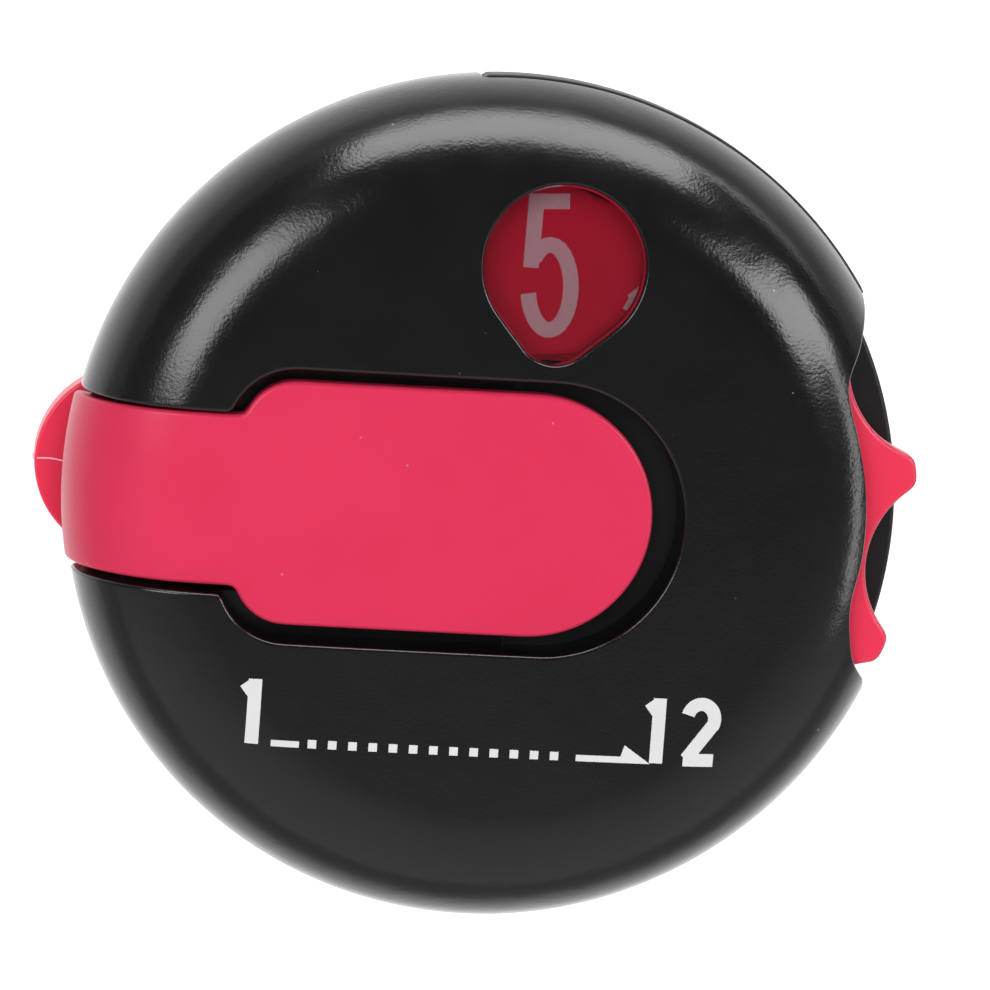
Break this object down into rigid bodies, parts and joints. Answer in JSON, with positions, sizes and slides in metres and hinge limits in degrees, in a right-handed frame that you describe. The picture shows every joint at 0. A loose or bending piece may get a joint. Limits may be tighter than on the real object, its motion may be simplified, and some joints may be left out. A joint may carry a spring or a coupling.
{
  "type": "hand tally counter",
  "caption": "Round pocket tally counter: thumb wheel with numbers behind a window, one-touch reset paddle on the domed face, spring clip on the back.",
  "frame": {"origin": "on the axis of the round case, in the plane the counter rests on (the back face of the clip)", "axes": "+Z the way the domed face looks; +X from the case axis to the thumb wheel; +Y from the case axis to the number window"},
  "size_m": [0.0412, 0.04, 0.0129],
  "materials": {
    "front_shell": "satin black, lightly textured",
    "window_lens": "clear, polished",
    "front_legend": "white pad print",
    "rear_shell": "matt black",
    "stop_pin": "ground steel",
    "case_screws": "zinc-plated steel",
    "count_wheel": "pink-red, satin gloss",
    "wheel_numerals": "white pad print",
    "ratchet_wheel": "natural acetal",
    "wheel_axle": "turned steel",
    "thrust_washer": "stamped steel",
    "hub_cover": "matt black",
    "axle_screw": "zinc-plated steel",
    "return_spring": "spring steel strip",
    "pawl": "natural acetal",
    "pawl_leaf": "spring steel strip",
    "pawl_pin": "ground steel",
    "pawl_spring": "spring steel strip",
    "reset_button": "pink, satin gloss",
    "button_pin": "ground steel",
    "button_spring": "spring wire",
    "clip_lever": "pink, satin gloss",
    "clip_pin": "ground steel",
    "clip_spring": "spring wire"
  },
  "bodies": {
    "case": {"front_shell": "front_shell", "window_lens": "window_lens", "front_legend": "front_legend", "rear_shell": "rear_shell", "stop_pin": "stop_pin", "case_screws": "case_screws", "wheel_axle": "wheel_axle", "hub_cover": "hub_cover", "axle_screw": "axle_screw", "thrust_washer": "thrust_washer", "return_spring": "return_spring", "pawl_pin": "pawl_pin", "pawl_spring": "pawl_spring", "button_pin": "button_pin", "button_spring": "button_spring", "clip_pin": "clip_pin", "clip_spring": "clip_spring"},
    "wheel": {"count_wheel": "count_wheel", "wheel_numerals": "wheel_numerals", "ratchet_wheel": "ratchet_wheel"},
    "pawl_arm": {"pawl": "pawl", "pawl_leaf": "pawl_leaf"},
    "button": {"reset_button": "reset_button"},
    "clip": {"clip_lever": "clip_lever"}
  },
  "joints": [
    {"name": "wheel_turn", "type": "hinge", "parent": "case", "child": "wheel", "pos_m": [0.0033, 0, 0.0093], "axis": [0, 0, -1], "range_deg": [-120, 210], "deforming": ["return_spring", "pawl_leaf"]},
    {"name": "button_press", "type": "hinge", "parent": "case", "child": "button", "pos_m": [-0.016, 0, 0.0092], "axis": [0, 1, 0], "range_deg": [0, 3.4], "deforming": ["button_spring"]},
    {"name": "pawl_swing", "type": "hinge", "parent": "case", "child": "pawl_arm", "pos_m": [-0.0105, -0.0056, 0.0065], "axis": [0, 0, 1], "range_deg": [0, 6.2], "deforming": ["pawl_spring"]},
    {"name": "clip_squeeze", "type": "hinge", "parent": "case", "child": "clip", "pos_m": [-0.008, 0, 0.0022], "axis": [0, 1, 0], "range_deg": [0, 8], "deforming": ["clip_spring"]}
  ],
  "couplings": [
    {"joint": "pawl_swing", "follows": "button_press", "ratio": 1.75}
  ]
}
